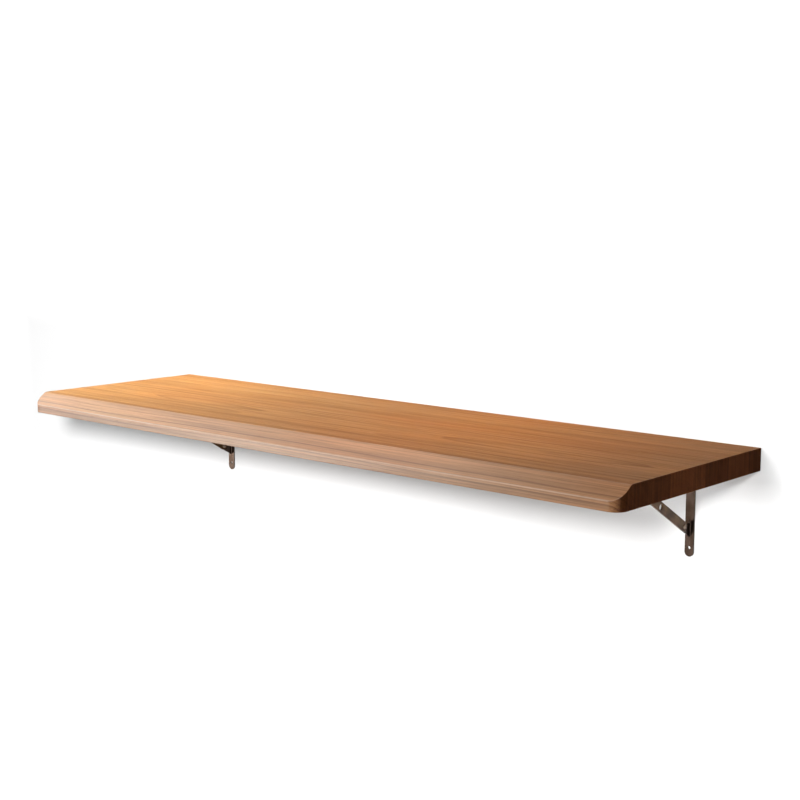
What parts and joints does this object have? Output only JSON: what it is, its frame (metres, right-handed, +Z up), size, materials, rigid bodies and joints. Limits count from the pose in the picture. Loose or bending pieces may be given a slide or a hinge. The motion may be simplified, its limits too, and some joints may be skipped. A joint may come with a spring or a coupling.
{
  "type": "wall-mounted folding desk",
  "caption": "Wooden desk top with a sloping front edge that folds down on slim flat-bar steel wall brackets with riveted struts",
  "frame": {"origin": "the centre of the four wall screw holes, on the face of the wall", "axes": "+X along the wall, to the right of someone who sits at the desk; +Y into the wall; +Z up"},
  "size_m": [2, 0.589, 0.285],
  "materials": {
    "wood": "satin",
    "bar_steel": "brushed",
    "strut_steel": "brushed",
    "rivet_steel": "satin",
    "screw_steel": "satin"
  },
  "bodies": {
    "wall_brackets": {"hinge_lug_left": "bar_steel", "hinge_lug_right": "bar_steel", "hinge_pin_left": "rivet_steel", "hinge_pin_right": "rivet_steel", "strut_lug_left": "bar_steel", "strut_lug_right": "bar_steel", "strut_rivet_left": "rivet_steel", "strut_rivet_right": "rivet_steel", "wall_arm_left": "bar_steel", "wall_arm_right": "bar_steel"},
    "desktop": {"catch_plate_left": "bar_steel", "catch_plate_right": "bar_steel", "hinge_ear_a_left": "bar_steel", "hinge_ear_a_right": "bar_steel", "hinge_ear_b_left": "bar_steel", "hinge_ear_b_right": "bar_steel", "shelf_arm_left": "bar_steel", "shelf_arm_right": "bar_steel", "stave_1": "wood", "stave_2": "wood", "stave_3": "wood", "stave_4": "wood", "stave_5": "wood", "stave_6": "wood", "top_screws_left": "screw_steel", "top_screws_right": "screw_steel"},
    "left_strut": {"catch_pin_left": "rivet_steel", "strut_left": "strut_steel"},
    "right_strut": {"catch_pin_right": "rivet_steel", "strut_right": "strut_steel"}
  },
  "joints": [
    {"name": "top_fold", "type": "hinge", "parent": "wall_brackets", "child": "desktop", "pos_m": [0, -0.026, 0.103], "axis": [1, 0, 0], "range_deg": [0, 90]},
    {"name": "left_strut_swing", "type": "hinge", "parent": "wall_brackets", "child": "left_strut", "pos_m": [-0.8135, -0.039, -0.0135], "axis": [1, 0, 0], "range_deg": [0, 121.2]},
    {"name": "right_strut_swing", "type": "hinge", "parent": "wall_brackets", "child": "right_strut", "pos_m": [0.8135, -0.039, -0.0135], "axis": [1, 0, 0], "range_deg": [0, 121.2]}
  ],
  "couplings": [
    {"joint": "left_strut_swing", "follows": "top_fold", "ratio": 1.3466},
    {"joint": "right_strut_swing", "follows": "top_fold", "ratio": 1.3466}
  ]
}
